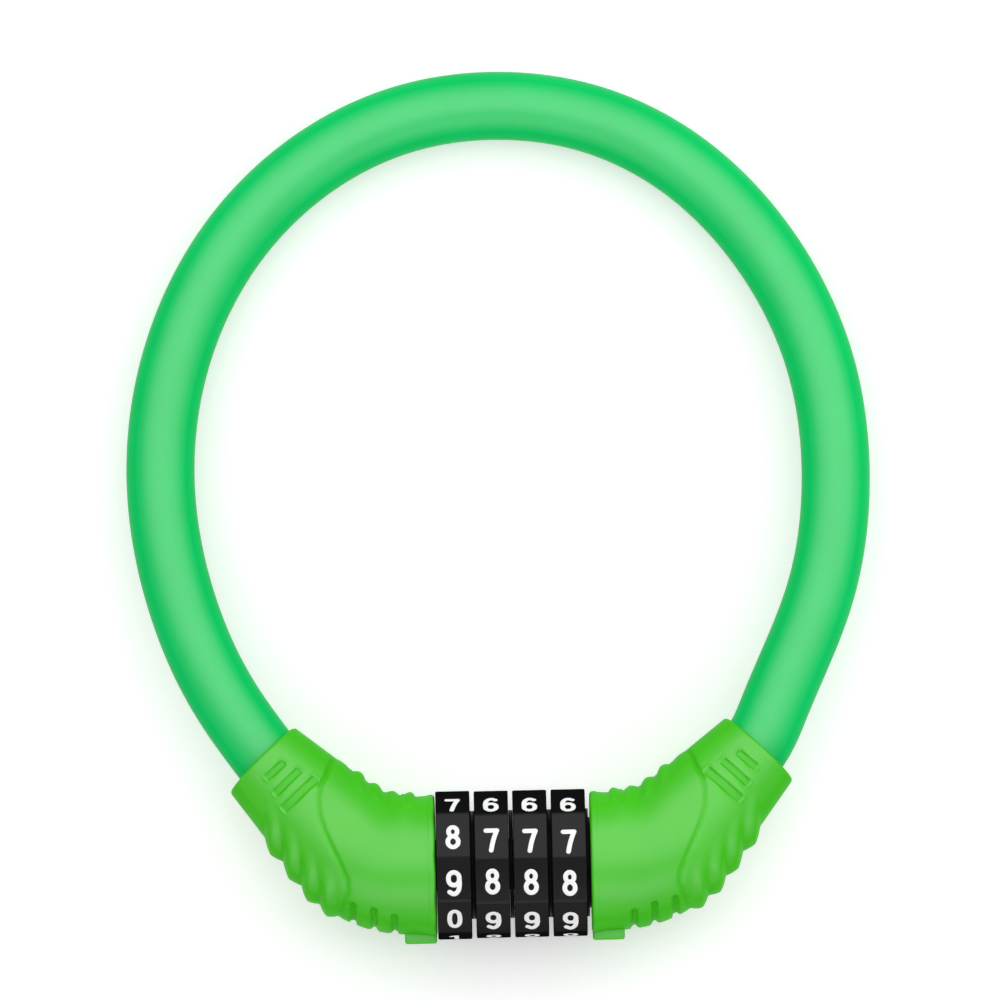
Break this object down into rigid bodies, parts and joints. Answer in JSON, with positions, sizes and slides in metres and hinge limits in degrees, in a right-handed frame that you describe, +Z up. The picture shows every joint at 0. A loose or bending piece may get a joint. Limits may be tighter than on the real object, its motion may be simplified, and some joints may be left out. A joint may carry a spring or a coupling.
{
  "type": "combination cable lock",
  "caption": "Ring cable lock: a thick sleeved cable closes on a barrel of number dials between two bent soft covers, and one end pulls off along the barrel.",
  "frame": {"origin": "on the surface the lock lies on, under the middle of the box of its dials and end covers", "axes": "+X along the dial axis towards the end that pulls off, +Y towards the far side of the cable loop, +Z up"},
  "size_m": [0.163, 0.1919, 0.033],
  "materials": {
    "cover_green": "soft satin moulding",
    "sleeve_green": "clear tinted, smooth",
    "rope_steel": "stranded wire",
    "zinc": "die cast",
    "pin_steel": "turned",
    "spring_steel": "tempered",
    "barrel_black": "satin black",
    "dial_black": "satin"
  },
  "bodies": {
    "lock_body": {"left_cover": "cover_green", "left_anchor": "zinc", "left_ferrule": "pin_steel", "left_ferrule_pins": "spring_steel", "barrel": "barrel_black", "barrel_cross_pin": "spring_steel", "click_spring": "spring_steel", "spacer_1": "barrel_black", "spacer_2": "barrel_black", "spacer_3": "barrel_black", "cable_sleeve": "sleeve_green", "wire_rope": "rope_steel"},
    "dial_1_body": {"dial_1": "dial_black", "code_ring_1": "zinc"},
    "dial_2_body": {"dial_2": "dial_black", "code_ring_2": "zinc"},
    "dial_3_body": {"dial_3": "dial_black", "code_ring_3": "zinc"},
    "dial_4_body": {"dial_4": "dial_black", "code_ring_4": "zinc"},
    "pull_off_end": {"right_cover": "cover_green", "right_anchor": "zinc", "right_ferrule": "pin_steel", "right_ferrule_pins": "spring_steel", "locking_pin": "pin_steel", "shank_cross_pin": "spring_steel"}
  },
  "joints": [
    {"name": "dial_1_spin", "type": "hinge", "parent": "lock_body", "child": "dial_1_body", "pos_m": [-0.0126, -0.00692, 0.01648], "axis": [1, 0, 0], "continuous": true},
    {"name": "dial_2_spin", "type": "hinge", "parent": "lock_body", "child": "dial_2_body", "pos_m": [-0.0042, -0.00692, 0.01648], "axis": [1, 0, 0], "continuous": true},
    {"name": "dial_3_spin", "type": "hinge", "parent": "lock_body", "child": "dial_3_body", "pos_m": [0.0042, -0.00692, 0.01648], "axis": [1, 0, 0], "continuous": true},
    {"name": "dial_4_spin", "type": "hinge", "parent": "lock_body", "child": "dial_4_body", "pos_m": [0.0126, -0.00692, 0.01648], "axis": [1, 0, 0], "continuous": true},
    {"name": "end_pull", "type": "slide", "parent": "lock_body", "child": "pull_off_end", "axis": [1, 0, 0], "range_m": [0, 0.04], "deforming": ["cable_sleeve", "wire_rope"]}
  ]
}
